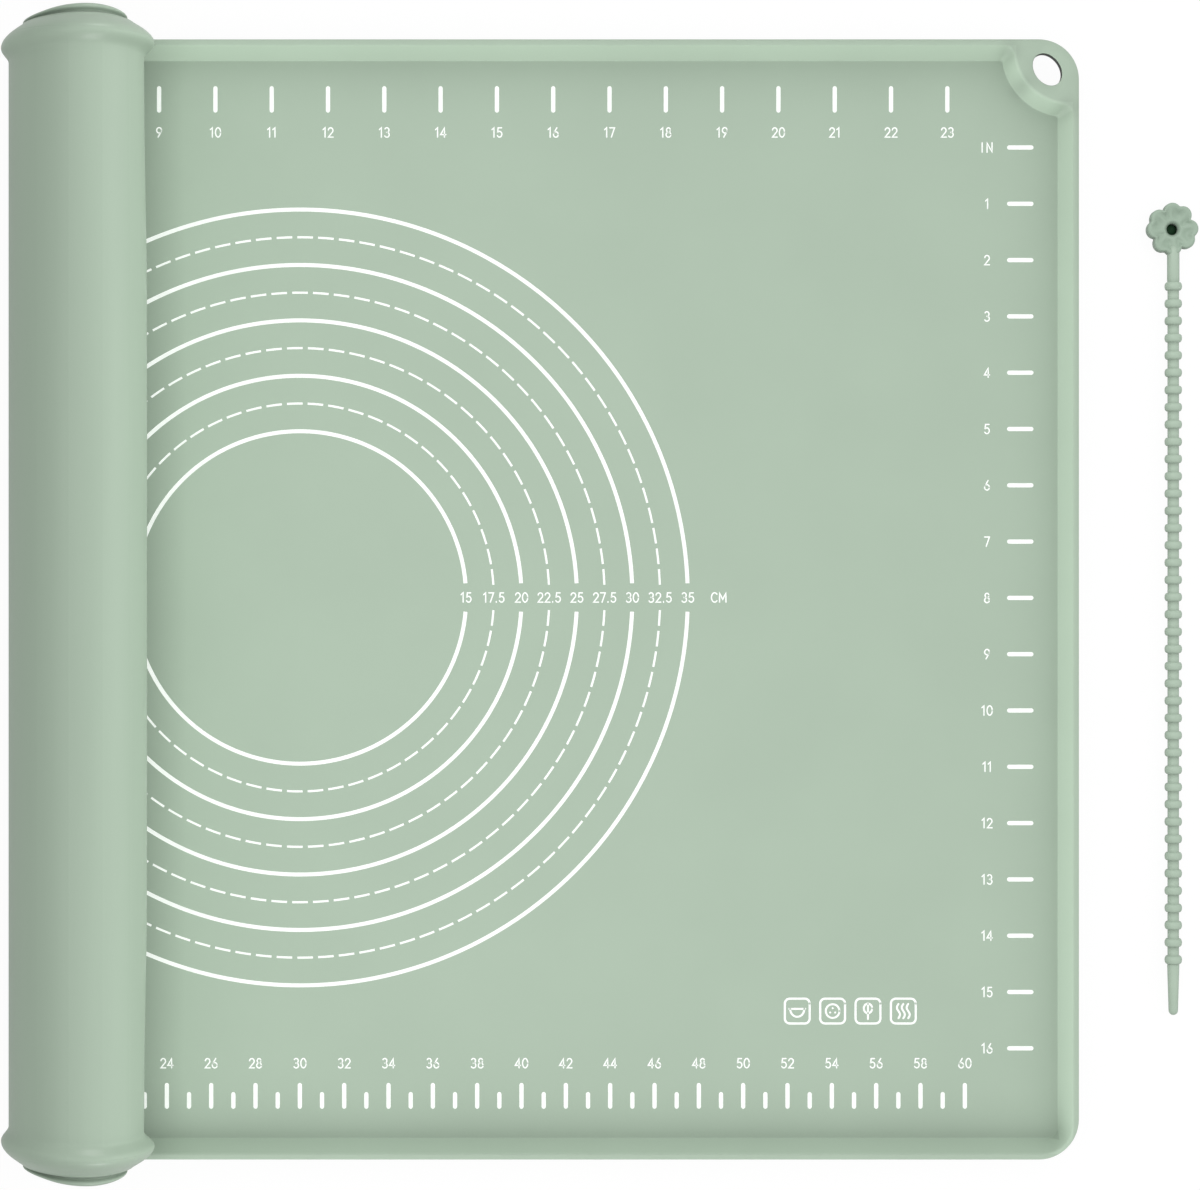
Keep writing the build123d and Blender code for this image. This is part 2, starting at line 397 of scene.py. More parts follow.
def roll_strips():
    """The strips of the roll as (start, x, z, heading, radius), and the end's row."""
    rows = []
    x, z, heading, radius = LEFT_CUT, 0.0, 0.0, ROLL_RADIUS
    start = 0.0
    left = RIGHT_END - FLAT_RUN_LEFT
    radius_step = LAYER_PITCH * STRIP_TURN / (2 * math.pi)
    while left - radius * STRIP_TURN > SHORTEST_END_RUN:
        rows.append((start, x, z, heading, radius))
        centre_x = x + radius * math.sin(heading)
        centre_z = z + radius * math.cos(heading)
        start += radius * STRIP_TURN
        left -= radius * STRIP_TURN
        heading += STRIP_TURN
        x = centre_x - radius * math.sin(heading)
        z = centre_z - radius * math.cos(heading)
        radius -= radius_step
    return rows, (start, x, z, heading, radius)


STRIPS, ROLL_END = roll_strips()
# The runs at which the roll's pieces are cut: the middle of each strip
CUTS = [row[0] + row[4] * STRIP_TURN / 2 for row in STRIPS]


def sheet_place(run):
    """Point and inward direction on the outside of the roll, run along the sheet."""
    if run <= 0:
        return Vector((LEFT_CUT - run, 0, 0)), Vector((0, 0, 1))
    start, x, z, heading, radius = [row for row in STRIPS if row[0] <= run][-1]
    centre = Vector((x + radius * math.sin(heading), 0, z + radius * math.cos(heading)))
    angle = heading + (run - start) / radius
    inward = Vector((math.sin(angle), 0, math.cos(angle)))
    return centre - inward * radius, inward


def splay_growth(run):
    return smooth_step((run - SPLAY_START) / SPLAY_GROWTH)


def bulge_inset(run):
    """How far inside the crease the rounding over begins."""
    return BULGE_INSET_NEAR + (BULGE_INSET_FAR - BULGE_INSET_NEAR) * splay_growth(run)


def rolled(run):
    """How much of its rolled shape the sheet has here, from none to all."""
    return smooth_step(run / WAIST_RAMP) * (1 - smooth_step((run - SPLAY_END) / WAIST_RAMP))


def drawn_in(run, y):
    """How far the sheet is drawn in towards the roll's axis at this place."""
    flare_y = UNDER_CREASE_Y - bulge_inset(run)
    side = smooth_step((flare_y - abs(y)) / FLARE_RUN)
    neck = smooth_step((abs(y) - NECK_MIDDLE) / NECK_RAMP)
    neck *= smooth_step((run - NECK_START) / WAIST_RAMP) * rolled(run)
    return side * (WAIST_DEPTH * smooth_step(run / WAIST_RAMP) + NECK_DEPTH * neck)


def rim_place(run, y, height):
    """A point of the rim after rolling, which rounds it over and turns its flange out."""
    share_rolled = rolled(run)
    beyond = abs(y) - UNDER_CREASE_Y
    inset = bulge_inset(run)
    if share_rolled == 0 or beyond <= -inset:
        return y, height
    reach_all = inset + SPLAY_NEAR + (SPLAY_FAR - SPLAY_NEAR) * splay_growth(run)

    def depth_at(reach):
        left = max(0.0, 1 - (reach / reach_all) ** 2)
        return SLOPE_RISE * (1 - left ** (BULGE_POWER / 2))

    if beyond <= 0:
        return y, height + share_rolled * depth_at(beyond + inset)
    share = min(1.0, beyond / SLOPE_RUN)
    rounded_reach = (reach_all - inset) * share
    rounded_depth = depth_at(inset + rounded_reach)
    reach = min(beyond, SLOPE_RUN)
    reach += share_rolled * (rounded_reach - reach)
    height += share_rolled * (rounded_depth - SLOPE_RISE * share)
    if beyond > SLOPE_RUN:
        flat_width = HALF_WIDTH - UNDER_CREASE_Y - SLOPE_RUN
        across = (beyond - SLOPE_RUN) / flat_width
        crest = math.sin(math.pi * min(1.0, max(0.0, (run - FLANGE_START) / FLANGE_SPAN)))
        width = FLANGE_SIDE + (FLANGE_TOP - FLANGE_SIDE) * crest
        reach += across * (flat_width + (width - flat_width) * share_rolled)
        step = smooth_step(across / FLANGE_STEP_SHARE) * FLANGE_STEP
        lip = max(0.0, (across - FLANGE_STEP_SHARE) / (1 - FLANGE_STEP_SHARE))
        step -= math.sin(math.pi * min(1.0, lip)) * FLANGE_CROWN
        height += share_rolled * step * smooth_step((run - WAIST_RAMP) / FLANGE_STEP_GROWTH)
    return math.copysign(UNDER_CREASE_Y + reach, y), height


def place(run, y, height):
    """Where a point of the flat sheet, height above its underside, lies."""
    spot, inward = sheet_place(run)
    depth = drawn_in(run, y)
    y, height = rim_place(run, y, height)
    return Vector((spot.x, y + SKEW * rolled(run), spot.z)) + inward * (height + depth)


def roll_section():
    """Outline of the sheet across the mat as (y, height) vectors."""
    flare_y = CORNER_Y - FLARE_GAP
    flare_all = FLARE_RUN + BULGE_INSET_NEAR
    across = [flare_y - flare_all * index / FLARE_STEPS for index in range(FLARE_STEPS + 1)]
    across += [flare_y * share for share in INNER_SHARES]
    sheet_ys = [-y for y in across] + [0.0] + list(reversed(across))
    half = [(CORNER_Y, SHEET, CREASE_ROUND)]
    half += [
        (CORNER_Y + SLOPE_RUN * share, SHEET + SLOPE_RISE * share, 0) for share in SLOPE_SHARES
    ]
    half.append((CORNER_Y + SLOPE_RUN, RIM_HEIGHT, SLOPE_TOP_ROUND))
    # On top the first two places are left out, beside the rounding of the slope
    lip_ys = [LIP_Y + (HALF_WIDTH - LIP_Y) * share for share in LIP_SHARES]
    half += [(y, RIM_HEIGHT, 0) for y in lip_ys[2:]]
    half.append((HALF_WIDTH, RIM_HEIGHT, EDGE_ROUND))
    half.append((HALF_WIDTH, SLOPE_RISE, EDGE_ROUND))
    half += [(y, SLOPE_RISE, 0) for y in reversed(lip_ys)]
    half.append((LIP_Y, SLOPE_RISE, LIP_ROUND))
    half += [
        (UNDER_CREASE_Y + SLOPE_RUN * share, SLOPE_RISE * share, 0)
        for share in reversed(SLOPE_SHARES)
    ]
    half.append((UNDER_CREASE_Y, 0, CREASE_ROUND))
    outline = [(y, SHEET, 0) for y in sheet_ys] + half
    outline += [(y, 0, 0) for y in reversed(sheet_ys)]
    outline += [(-y, height, distance) for y, height, distance in reversed(half)]
    return rounded([(Vector((y, height)), distance) for y, height, distance in outline])


def roll_piece(name, runs, section):
    points = [place(run, spot.x, spot.y) for run in runs for spot in section]
    flat_points = [(LEFT_CUT - run, spot.x) for run in runs for spot in section]
    columns = len(section)
    made = make_mesh(name, points, tube_faces(len(runs), columns), MAT_LOOKS, flat_points)
    for polygon in made.data.polygons:
        column = polygon.index % columns
        printed_side = section[(column + 1) % columns].x > section[column].x
        polygon.material_index = 0 if printed_side else 1
    return made


def strip_name(index):
    return f"roll_strip_{index + 1:02d}" if index < len(STRIPS) else "roll_end"


def blend_span(before, after):
    """Start and end of a bend about the hinge, so that both cuts are outside it."""
    chord = after - before
    middle = before + chord * 0.5
    return middle - chord * BEND_SHARE, middle + chord * BEND_SHARE


def roll_parts():
    """The pieces round the hinges as (piece, its two bodies, start and end of the bend)."""
    section = roll_section()
    made = []
    for index in range(len(STRIPS) + 1):
        start = CUTS[index - 1] if index else 0.0
        end = CUTS[index] if index < len(STRIPS) else ROLL_END[0]
        count = ARC_STEPS * (2 if 0 < index < len(STRIPS) else 1)
        runs = [start + (end - start) * step / count for step in range(count + 1)]
        piece = roll_piece(f"mat_bend_{index + 1:02d}", runs, section)
        body_a = "flat_mat" if index == 0 else strip_name(index - 1)
        span = blend_span(sheet_place(start)[0], sheet_place(end)[0])
        made.append((piece, body_a, strip_name(index), *span))
    return made


# Materials

# How deep the mat's painted shade goes in its creases, and how far it reaches
SHADE_REACH = 14 * MM
SHADE_DEPTH = 0.07
# Painted shade from ambient occlusion, darkening the colour in corners and creases
CORNER_SHADE_REACH = 25 * MM
CORNER_SHADE = 0.45
CORNER_SAMPLES = 6
# Painted light on the rim's slopes, and a painted shade a little darker on its flange
SLOPE_PAINTED_LIGHT = 1.10
FLANGE_PAINTED_SHADE = 0.99
FLANGE_FADE = 0.3 * MM
# Painted shade on the hole's inner wall
HOLE_SHADE = 0.93
HOLE_MARGIN = 0.05 * MM
# Painted shade in the soft dark places where the rim's slope meets the platform's
VALLEY_FAR = 22.5 * MM
VALLEY_OUT = 3.0 * MM
ARC_SHADE_SPOT = (-17 * MM, -12.5 * MM)
VALLEY_REACH = 4.2 * MM
VALLEY_SHADE = 0.2
# Painted shade in the groove behind the lip of the rolled rim
GROOVE_Y = LIP_Y + 0.75 * MM
GROOVE_REACH = 0.6 * MM
GROOVE_SHADE = 0.1
# The silicone's mottling, moulded grain and bloom; a noise is (detail, roughness)
MOTTLE_NOISE = (3, 0.5)
GRAIN_NOISE = (2, 0.6)
INK_NOISE = (2, 0.5)
RAMP_ENDS = (0.35, 0.65)
MOTTLE_SPREAD = 0.015
ROUGHNESS_SPREAD = 0.06
GRAIN_STRENGTH = 0.12
GRAIN_DEPTH = 0.2 * MM
MAT_GRAIN = 900
TIE_GRAIN = 1400
SHEEN = 0.05
SHEEN_ROUGHNESS = 0.5
MAT_COLOUR = (0.402, 0.506, 0.402)
# The unprinted side is glossier; its colour is the mat's own darkened, painted shade that balances the
# stronger lamps on the roll
OUTSIDE_SHADED_COLOUR = (0.342, 0.43, 0.342)
TIE_COLOUR = (0.43, 0.54, 0.435)
# The head's colour is the tie's darkened: painted shade for its upward faces, which the tie's lamp
# lights strongly
HEAD_SHADED_COLOUR = (0.35, 0.455, 0.36)
INK_GRAIN = 300
INK_DARK = (0.86, 0.9, 0.86)
INK_LIGHT = (0.93, 0.96, 0.93)
# Painted light: a faint glow that brightens the ink
INK_PAINTED_GLOW = (0.9, 0.95, 0.9, 1)
INK_PAINTED_GLOW_STRENGTH = 0.12
INK_ROUGHNESS = 0.55


def nodes_of(name):
    material = bpy.data.materials.new(name)
    material.use_nodes = True
    tree = material.node_tree
    return material, tree, tree.nodes["Principled BSDF"]


def feed(tree, node, inputs):
    """Gives the node's inputs, by name or place, an output or a plain value each."""
    for key, value in inputs.items():
        if isinstance(value, bpy.types.NodeSocket):
            tree.links.new(value, node.inputs[key])
        else:
            node.inputs[key].default_value = value


def add(tree, kind, inputs, **settings):
    node = tree.nodes.new(kind)
    for name, value in settings.items():
        setattr(node, name, value)
    feed(tree, node, inputs)
    return node


def coordinates(tree, kind):
    return add(tree, "ShaderNodeTexCoord", {}).outputs[kind]


def camera_ray(tree):
    return add(tree, "ShaderNodeLightPath", {}).outputs["Is Camera Ray"]


def parted(tree, vector):
    """The X and Y outputs of the vector."""
    node = add(tree, "ShaderNodeSeparateXYZ", {0: vector})
    return node.outputs["X"], node.outputs["Y"]


def noise(tree, scale, detail, roughness, vector):
    inputs = {"Scale": scale, "Detail": detail, "Roughness": roughness, "Vector": vector}
    return add(tree, "ShaderNodeTexNoise", inputs).outputs["Fac"]


def ramp(tree, source, low, high):
    node = add(tree, "ShaderNodeValToRGB", {"Fac": source})
    for element, at, colour in zip(node.color_ramp.elements, RAMP_ENDS, (low, high)):
        element.position = at
        element.color = (*colour, 1)
    return node.outputs["Color"]


def map_range(tree, source, to_min, to_max, from_min=0.0, from_max=1.0):
    inputs = {"Value": source, "From Min": from_min, "From Max": from_max}
    inputs.update({"To Min": to_min, "To Max": to_max})
    return add(tree, "ShaderNodeMapRange", inputs).outputs["Result"]


def scaled(tree, colour, factor):
    inputs = {0: colour, "Scale": factor}
    return add(tree, "ShaderNodeVectorMath", inputs, operation="SCALE").outputs[0]


def math_node(tree, operation, *values):
    """A maths node; its inputs are sockets or numbers."""
    return add(tree, "ShaderNodeMath", dict(enumerate(values)), operation=operation).outputs[0]


def mix_out(tree, output, share, first, second):
    """Sends a mix of two shaders to the output."""
    mix = add(tree, "ShaderNodeMixShader", dict(enumerate((share, first, second))))
    tree.links.new(mix.outputs["Shader"], tree.nodes[output].inputs["Surface"])


def less(tree, amount, share=1.0):
    """What is left of one when this share of the amount is taken away."""
    return math_node(tree, "SUBTRACT", 1.0, math_node(tree, "MULTIPLY", amount, share))


def bell(tree, apart, reach):
    """One at no distance, and falling off smoothly within the reach."""
    spread = math_node(tree, "DIVIDE", apart, reach)
    return math_node(tree, "POWER", 1 / math.e, math_node(tree, "POWER", spread, 2))


def far_from(tree, x, y, centre):
    """Distance of the flat point (x, y) from the centre."""
    dx = math_node(tree, "SUBTRACT", x, centre[0])
    dy = math_node(tree, "SUBTRACT", y, centre[1])
    across = math_node(tree, "MULTIPLY", dy, dy)
    return math_node(tree, "SQRT", math_node(tree, "MULTIPLY_ADD", dx, dx, across))


def mat_tone(tree, flat):
    """Painted shade and light of the moulding: painted shade deeper towards the crease, painted light
    on the rim, painted shade in the hole and the platform's valleys.
    """
    x, y = parted(tree, flat)
    from_end = math_node(tree, "SUBTRACT", CORNER_X, x)
    from_side = math_node(tree, "SUBTRACT", CORNER_Y, math_node(tree, "ABSOLUTE", y))
    inside = math_node(tree, "MINIMUM", from_end, from_side)
    platform_far = far_from(tree, x, y, (PLATFORM_X, PLATFORM_Y))
    from_platform = math_node(tree, "SUBTRACT", platform_far, PLATFORM_CREASE_RADIUS)
    inside = math_node(tree, "MINIMUM", inside, from_platform)
    fading = math_node(tree, "POWER", math.e, math_node(tree, "DIVIDE", inside, -SHADE_REACH))
    shaded = less(tree, fading, SHADE_DEPTH)
    # Painted light on the slopes and painted shade on the flange
    on_sheet = math_node(tree, "GREATER_THAN", inside, 0.0)
    rim_painted_light = map_range(
        tree, inside, SLOPE_PAINTED_LIGHT, FLANGE_PAINTED_SHADE, -SLOPE_RUN + FLANGE_FADE, -SLOPE_RUN - FLANGE_FADE
    )
    rim = math_node(tree, "MULTIPLY", less(tree, on_sheet), rim_painted_light)
    painted_shading = math_node(tree, "ADD", math_node(tree, "MULTIPLY", shaded, on_sheet), rim)
    # Painted shade on the hole's inner wall, inside the oval
    focus = HOLE_ALONG * math.sqrt((HOLE_LENGTH / 2) ** 2 - (HOLE_BREADTH / 2) ** 2)
    one = far_from(tree, x, y, (HOLE_X + focus.x, HOLE_Y + focus.y))
    other = far_from(tree, x, y, (HOLE_X - focus.x, HOLE_Y - focus.y))
    round_trip = math_node(tree, "ADD", one, other)
    in_hole = math_node(tree, "LESS_THAN", round_trip, HOLE_LENGTH + HOLE_MARGIN)
    painted_shading = math_node(tree, "MULTIPLY", painted_shading, less(tree, in_hole, HOLE_SHADE))
    # Painted shade in the valleys where the rim's slope meets the platform's
    for spot in ((-VALLEY_FAR, VALLEY_OUT), (VALLEY_OUT, -VALLEY_FAR), ARC_SHADE_SPOT):
        apart = far_from(tree, x, y, (CORNER_X + spot[0], CORNER_Y + spot[1]))
        near = bell(tree, apart, VALLEY_REACH)
        painted_shading = math_node(tree, "MULTIPLY", painted_shading, less(tree, near, VALLEY_SHADE))
    return painted_shading


def outside_tone(tree, flat):
    """Painted shade of the outside: darker in the groove behind the lip of the rolled rim."""
    y = math_node(tree, "ABSOLUTE", parted(tree, flat)[1])
    apart = math_node(tree, "ABSOLUTE", math_node(tree, "SUBTRACT", y, GROOVE_Y))
    return less(tree, bell(tree, apart, GROOVE_REACH), GROOVE_SHADE)


def silicone(name, colour, roughness, grain, painted_shading_of=None, mottling=16, streak=1, shine=0.35):
    """Matte moulded silicone: a soft mottling, a fine moulded grain and a faint bloom, with painted
    shade from ambient occlusion in its corners and any painted light and shade from painted_shading_of.
    """
    material, tree, shader = nodes_of(name)
    vector = coordinates(tree, "UV" if painted_shading_of else "Object")
    stretch = {0: vector, 1: (1, streak, 1)}
    stretched = add(tree, "ShaderNodeVectorMath", stretch, operation="MULTIPLY").outputs[0]
    mottle = noise(tree, mottling, *MOTTLE_NOISE, stretched)
    darker = [c * (1 - MOTTLE_SPREAD) for c in colour]
    lighter = [c * (1 + MOTTLE_SPREAD) for c in colour]
    base = ramp(tree, mottle, darker, lighter)
    # Painted light and shade, multiplied into the colour
    if painted_shading_of:
        base = scaled(tree, base, painted_shading_of(tree, vector))
    # Painted shade in corners and creases: the colour darkened by ambient occlusion
    reach = {"Distance": CORNER_SHADE_REACH}
    corners = add(tree, "ShaderNodeAmbientOcclusion", reach, samples=CORNER_SAMPLES)
    ao_painted_shade = map_range(tree, corners.outputs["AO"], 1 - CORNER_SHADE, 1.0)
    relief = {"Strength": GRAIN_STRENGTH, "Distance": GRAIN_DEPTH}
    relief["Height"] = noise(tree, grain, *GRAIN_NOISE, vector)
    smoothest, roughest = roughness - ROUGHNESS_SPREAD, roughness + ROUGHNESS_SPREAD
    look = {
        "Base Color": scaled(tree, base, ao_painted_shade),
        "Normal": add(tree, "ShaderNodeBump", relief).outputs["Normal"],
        "Roughness": map_range(tree, mottle, smoothest, roughest),
        "Specular IOR Level": shine,
        "Sheen Weight": SHEEN,
        "Sheen Roughness": SHEEN_ROUGHNESS,
    }
    feed(tree, shader, look)
    return material


def ink():
    """White silicone ink, printed on the sheet a few hundredths thick, with a faint painted glow."""
    material, tree, shader = nodes_of("white_ink")
    cover = noise(tree, INK_GRAIN, *INK_NOISE, coordinates(tree, "Object"))
    look = {
        "Base Color": ramp(tree, cover, INK_DARK, INK_LIGHT),
        "Roughness": INK_ROUGHNESS,
        "Emission Color": INK_PAINTED_GLOW,
        "Emission Strength": INK_PAINTED_GLOW_STRENGTH,
    }
    feed(tree, shader, look)
    return material


mat_material = silicone(
    "mat_silicone_look", MAT_COLOUR, roughness=0.6, grain=MAT_GRAIN, painted_shading_of=mat_tone
)
outside_material = silicone(
    "mat_silicone_outside",
    OUTSIDE_SHADED_COLOUR,
    roughness=0.36,
    grain=MAT_GRAIN,
    painted_shading_of=outside_tone,
    mottling=60,
    streak=0.06,
    shine=0.24,
)
MAT_LOOKS = (mat_material, outside_material)
end_material = silicone("mat_silicone_end", MAT_COLOUR, roughness=0.55, grain=MAT_GRAIN)
tie_look = {"roughness": 0.5, "grain": TIE_GRAIN, "mottling": 60}
tie_material = silicone("tie_silicone_look", TIE_COLOUR, **tie_look)
head_shaded_material = silicone("tie_head_painted_shade", HEAD_SHADED_COLOUR, **tie_look)
ink_material = ink()

# The mat's pieces

# Faces that look down more than this are the unprinted side
UNDERSIDE_NORMAL = -0.1
flat = flat_part()
for polygon in flat.data.polygons:
    polygon.material_index = 1 if polygon.normal.z < UNDERSIDE_NORMAL else 0
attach(flat, "flat_mat")
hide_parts("flat_mat")

BENDS = roll_parts()
for index, (piece, body_a, body_b, span_start, span_end) in enumerate(BENDS):
    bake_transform(piece)
    if index < len(STRIPS):
        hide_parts(strip_name(index))

end_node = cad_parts["roll_end"]
end_node.data.materials.clear()
end_node.data.materials.append(end_material)

# The tie

STRAP_X = 393.45 * MM
SHANK_R = 2.55 * MM
NECK_R = 2.75 * MM
# How the neck rounds off inside the head, as (way along, radius) in neck radii
NECK_START_ROUND = ((0.0, 0.0), (0.0, 0.4), (0.6, 0.85), (1.4, 1.0))
NECK_END = 1.25
BEAD_R = 3.88 * MM
BEAD_HALF = 1.9 * MM
BEAD_PITCH = 7.77 * MM
BEAD_COUNT = 40
BEAD_STEPS = 8
BEAD_FULLNESS = 0.75
HEAD_TO_BEAD = 25.7 * MM
TAIL_LENGTH = 23.0 * MM
TAIL_BASE_R = 2.7 * MM
TAIL_TIP_R = 2.1 * MM
TAIL_SHOULDER = 0.6 * MM
TIP_STEPS = 6
TIE_SIDES = 32

TIE_X = 393 * MM
HEAD_Y = 166.6 * MM
HEAD_THICKNESS = 6.4 * MM
HEAD_STRETCH = 1.03
LOBE_R = 3.9 * MM
LOBE_RING = 7.6 * MM
NOTCH_SOFTNESS = 0.28 * MM
PETAL_COUNT = 4
PETAL_TURN = math.radians(72)
LOBE_HALF = math.radians(19)
HUB_R = 7.0 * MM
HEAD_ROUND = 1.2 * MM
DISH_DEPTH = 1.4 * MM
DISH_POWER = 1.7
EYE_R = 2.5 * MM
FUNNEL_R = 3.8 * MM
FUNNEL_STEEPNESS = 1.1
FUNNEL_POWER = 1.6
GROOVE_DEPTH = 0.8 * MM
GROOVE_POWER = 3
SPOON_DEPTH = 1.0 * MM
HEAD_SIDES = 144
FUNNEL_STEPS = 4
FACE_STEPS = 7
EDGE_STEPS = 5
FOOT_STEPS = 4


def turned_tie():
    """The neck, beads and tail: one turned outline round the tie's axis."""
    neck_y = HEAD_Y - HUB_R
    profile = [(neck_y - NECK_R * along, NECK_R * radius) for along, radius in NECK_START_ROUND]
    first_bead = HEAD_Y - HEAD_TO_BEAD
    profile.append((first_bead + BEAD_HALF * NECK_END, NECK_R))
    for bead in range(BEAD_COUNT):
        middle = first_bead - bead * BEAD_PITCH
        for step in range(BEAD_STEPS + 1):
            angle = math.pi * step / BEAD_STEPS
            rise = math.sin(angle) ** BEAD_FULLNESS
            y = middle + BEAD_HALF * math.cos(angle)
            profile.append((y, SHANK_R + (BEAD_R - SHANK_R) * rise))
    tail_start = first_bead - (BEAD_COUNT - 1) * BEAD_PITCH - BEAD_HALF
    profile.append((tail_start - TAIL_SHOULDER, TAIL_BASE_R))
    round_y = tail_start - TAIL_LENGTH + TAIL_TIP_R
    for step in range(TIP_STEPS + 1):
        angle = math.pi / 2 * step / TIP_STEPS
        profile.append((round_y - TAIL_TIP_R * math.sin(angle), TAIL_TIP_R * math.cos(angle)))
    points = []
    for y, radius in profile:
        ring = arc_points((STRAP_X, BEAD_R), radius, 0, 360, TIE_SIDES)[:-1]
        points += [(x, y, z) for x, z in ring]
    return points, tube_faces(len(profile), TIE_SIDES)


def head_reach(angle):
    """Distance from the eye to the flower's outline, softened in the notches."""
    total = math.exp(HUB_R / NOTCH_SOFTNESS)
    for petal in range(PETAL_COUNT):
        for side in (-LOBE_HALF, LOBE_HALF):
            turn = angle - PETAL_TURN - 2 * math.pi / PETAL_COUNT * petal - side
            inside = LOBE_R**2 - (LOBE_RING * math.sin(turn)) ** 2
            if inside > 0 and math.cos(turn) > 0:
                reach = LOBE_RING * math.cos(turn) + math.sqrt(inside)
                total += math.exp(reach / NOTCH_SOFTNESS)
    return NOTCH_SOFTNESS * math.log(total)


def head_column(angle):
    """Section of the head from the eye to the outline, as (radius, height)."""
    petal = math.cos(PETAL_COUNT * (angle - PETAL_TURN))
    flat_end = head_reach(angle) - HEAD_ROUND
    eye_floor = HEAD_THICKNESS - DISH_DEPTH
    funnel = FUNNEL_R - EYE_R
    column = [(EYE_R, 0.0)]
    for step in range(FUNNEL_STEPS + 1):
        t = step / FUNNEL_STEPS
        drop = funnel * FUNNEL_STEEPNESS * (1 - t) ** FUNNEL_POWER
        column.append((EYE_R + funnel * t, eye_floor - drop))
    for step in range(1, FACE_STEPS + 1):
        t = step / FACE_STEPS
        swell = math.sin(math.pi * t)
        dish = eye_floor + DISH_DEPTH * t**DISH_POWER
        groove = GROOVE_DEPTH * max(0.0, -petal) ** GROOVE_POWER * swell
        spoon = SPOON_DEPTH * max(0.0, petal) * swell**2
        column.append((FUNNEL_R + (flat_end - FUNNEL_R) * t, dish - groove - spoon))
    for step in range(1, EDGE_STEPS + 1):
        turn = math.pi / 2 * step / EDGE_STEPS
        height = HEAD_THICKNESS - HEAD_ROUND * (1 - math.cos(turn))
        column.append((flat_end + HEAD_ROUND * math.sin(turn), height))
    for step in range(FOOT_STEPS + 1):
        turn = math.pi / 2 * step / FOOT_STEPS
        height = HEAD_ROUND * (1 - math.sin(turn))
        column.append((flat_end + HEAD_ROUND * math.cos(turn), height))
    return column


def flower():
    """The head: four heart-shaped petals round a funnelled eye."""
    points = []
    faces = []
    for side in range(HEAD_SIDES):
        angle = 2 * math.pi * side / HEAD_SIDES
        column = head_column(angle)
        along, across = math.cos(angle), math.sin(angle) * HEAD_STRETCH
        points += [(TIE_X + r * along, HEAD_Y + r * across, z) for r, z in column]
        count = len(column)
        here, after = side * count, (side + 1) % HEAD_SIDES * count
        for row in range(count):
            up = (row + 1) % count
            faces.append((here + row, after + row, after + up, here + up))
    return points, faces


tie_points, tie_faces = turned_tie()
head_points, head_faces = flower()
offset = len(tie_points)
tie_points += head_points
tie_faces += shifted(head_faces, offset)
tie = make_mesh("tie_moulding", tie_points, tie_faces, (tie_material, head_shaded_material))
# The head takes the darker copy of the tie's silicone, painted shade
for polygon in tie.data.polygons:
    polygon.material_index = 1 if polygon.vertices[0] >= offset else 0
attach(tie, "tie")
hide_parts("tie")

# The printed marks, as strokes on the flat sheet

INCH = 25.4 * MM
CM = 10 * MM
INK_RISE = 0.05 * MM
THICK_STROKE = 1.95 * MM
THIN_STROKE = 1.0 * MM
CIRCLE_STROKE = THICK_STROKE * 0.93
DIGIT_STROKE = 0.62 * MM
DIGIT_HEIGHT = 4.5 * MM
DIGIT_GAP = 0.13
PIECE_STEP = 2.5 * MM
MITRE_LIMIT = 0.5
CAP_COUNT = 6
# The print sits this far off the middle of the mat
PRINT_OFFSET = 0.9 * MM

# The inch scale along the far side, the one down the right end, and the
# centimetre scale along the near side
TICK_INSET = 20.3 * MM
INCH_TICK = 12 * MM
INCH_COUNT = 24
MIDDLE_INCH = 11.5
INCH_LABEL_Y = HALF_WIDTH - 41.2 * MM
END_COUNT_INCHES = 17
END_FIRST_Y = 203.0 * MM
END_TICK_X = 319 * MM
END_LABEL_X = 310 * MM
CM_COUNT = 61
MIDDLE_CM = 30
LONG_TICK = 11.7 * MM
SHORT_TICK = 7.6 * MM
CM_LABEL_Y = -210.1 * MM

# The circles: their diameters in centimetres and the gap at their labels
SOLID_CIRCLES = (15, 20, 25, 30, 35)
DASHED_CIRCLES = (17.5, 22.5, 27.5, 32.5)
SOLID_OPENING = 6.4 * MM
DASHED_OPENING = SOLID_OPENING - 0.7 * MM
DASH_PITCH = 9.4 * MM
DASH = 7.1 * MM
DASH_STEPS = 3
UNIT_X = 189 * MM

# The framed kitchen motifs
MOTIF_X = 224.4 * MM
MOTIF_Y = -186.6 * MM
MOTIF_PITCH = 15.95 * MM
MOTIF_HALF = 5.6 * MM
MOTIF_CORNER = 2.2 * MM
MOTIF_CORNER_STEPS = 6
MOTIF_STROKE = 0.9 * MM

